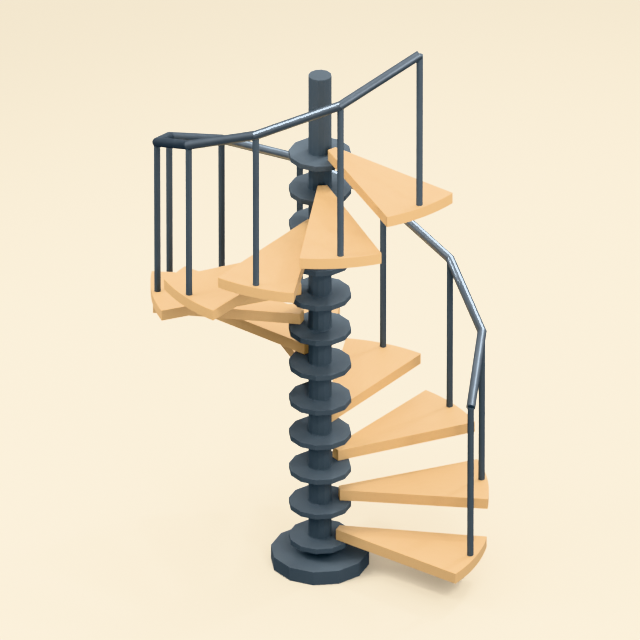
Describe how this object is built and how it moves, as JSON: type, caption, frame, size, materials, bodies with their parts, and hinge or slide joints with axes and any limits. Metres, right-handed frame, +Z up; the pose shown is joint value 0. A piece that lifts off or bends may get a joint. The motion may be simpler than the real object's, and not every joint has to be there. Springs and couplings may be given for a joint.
{
  "type": "spiral staircase",
  "caption": "Free-standing spiral stair with a many-sided steel column, welded collars, solid wooden treads, round balusters and a mitred tube handrail.",
  "frame": {"origin": "middle of the foot's underside, on the column's axis", "axes": "+Z up along the column, +X along the middle line of the lowest tread; the stair climbs counter-clockwise seen from above"},
  "size_m": [1.7, 1.7, 3.2907],
  "materials": {
    "paint": "satin slate blue-grey",
    "wood": "pale, smooth, clear oiled",
    "steel": "polished"
  },
  "bodies": {
    "root": {"base": "paint", "column": "paint", "column_cap": "paint", "collar_01": "paint", "collar_02": "paint", "collar_03": "paint", "collar_04": "paint", "collar_05": "paint", "collar_06": "paint", "collar_07": "paint", "collar_08": "paint", "collar_09": "paint", "collar_10": "paint", "collar_11": "paint", "collar_12": "paint", "tread_01": "wood", "tread_02": "wood", "tread_03": "wood", "tread_04": "wood", "tread_05": "wood", "tread_06": "wood", "tread_07": "wood", "tread_08": "wood", "tread_09": "wood", "tread_10": "wood", "tread_11": "wood", "tread_12": "wood", "baluster_01": "paint", "baluster_02": "paint", "baluster_03": "paint", "baluster_04": "paint", "baluster_05": "paint", "baluster_06": "paint", "baluster_07": "paint", "baluster_08": "paint", "baluster_09": "paint", "baluster_10": "paint", "baluster_11": "paint", "baluster_12": "paint", "handrail_01": "steel", "handrail_02": "steel", "handrail_03": "steel", "handrail_04": "steel", "handrail_05": "steel", "handrail_06": "steel", "handrail_07": "steel", "handrail_08": "steel", "handrail_09": "steel", "handrail_10": "steel", "handrail_11": "steel"}
  },
  "joints": []
}
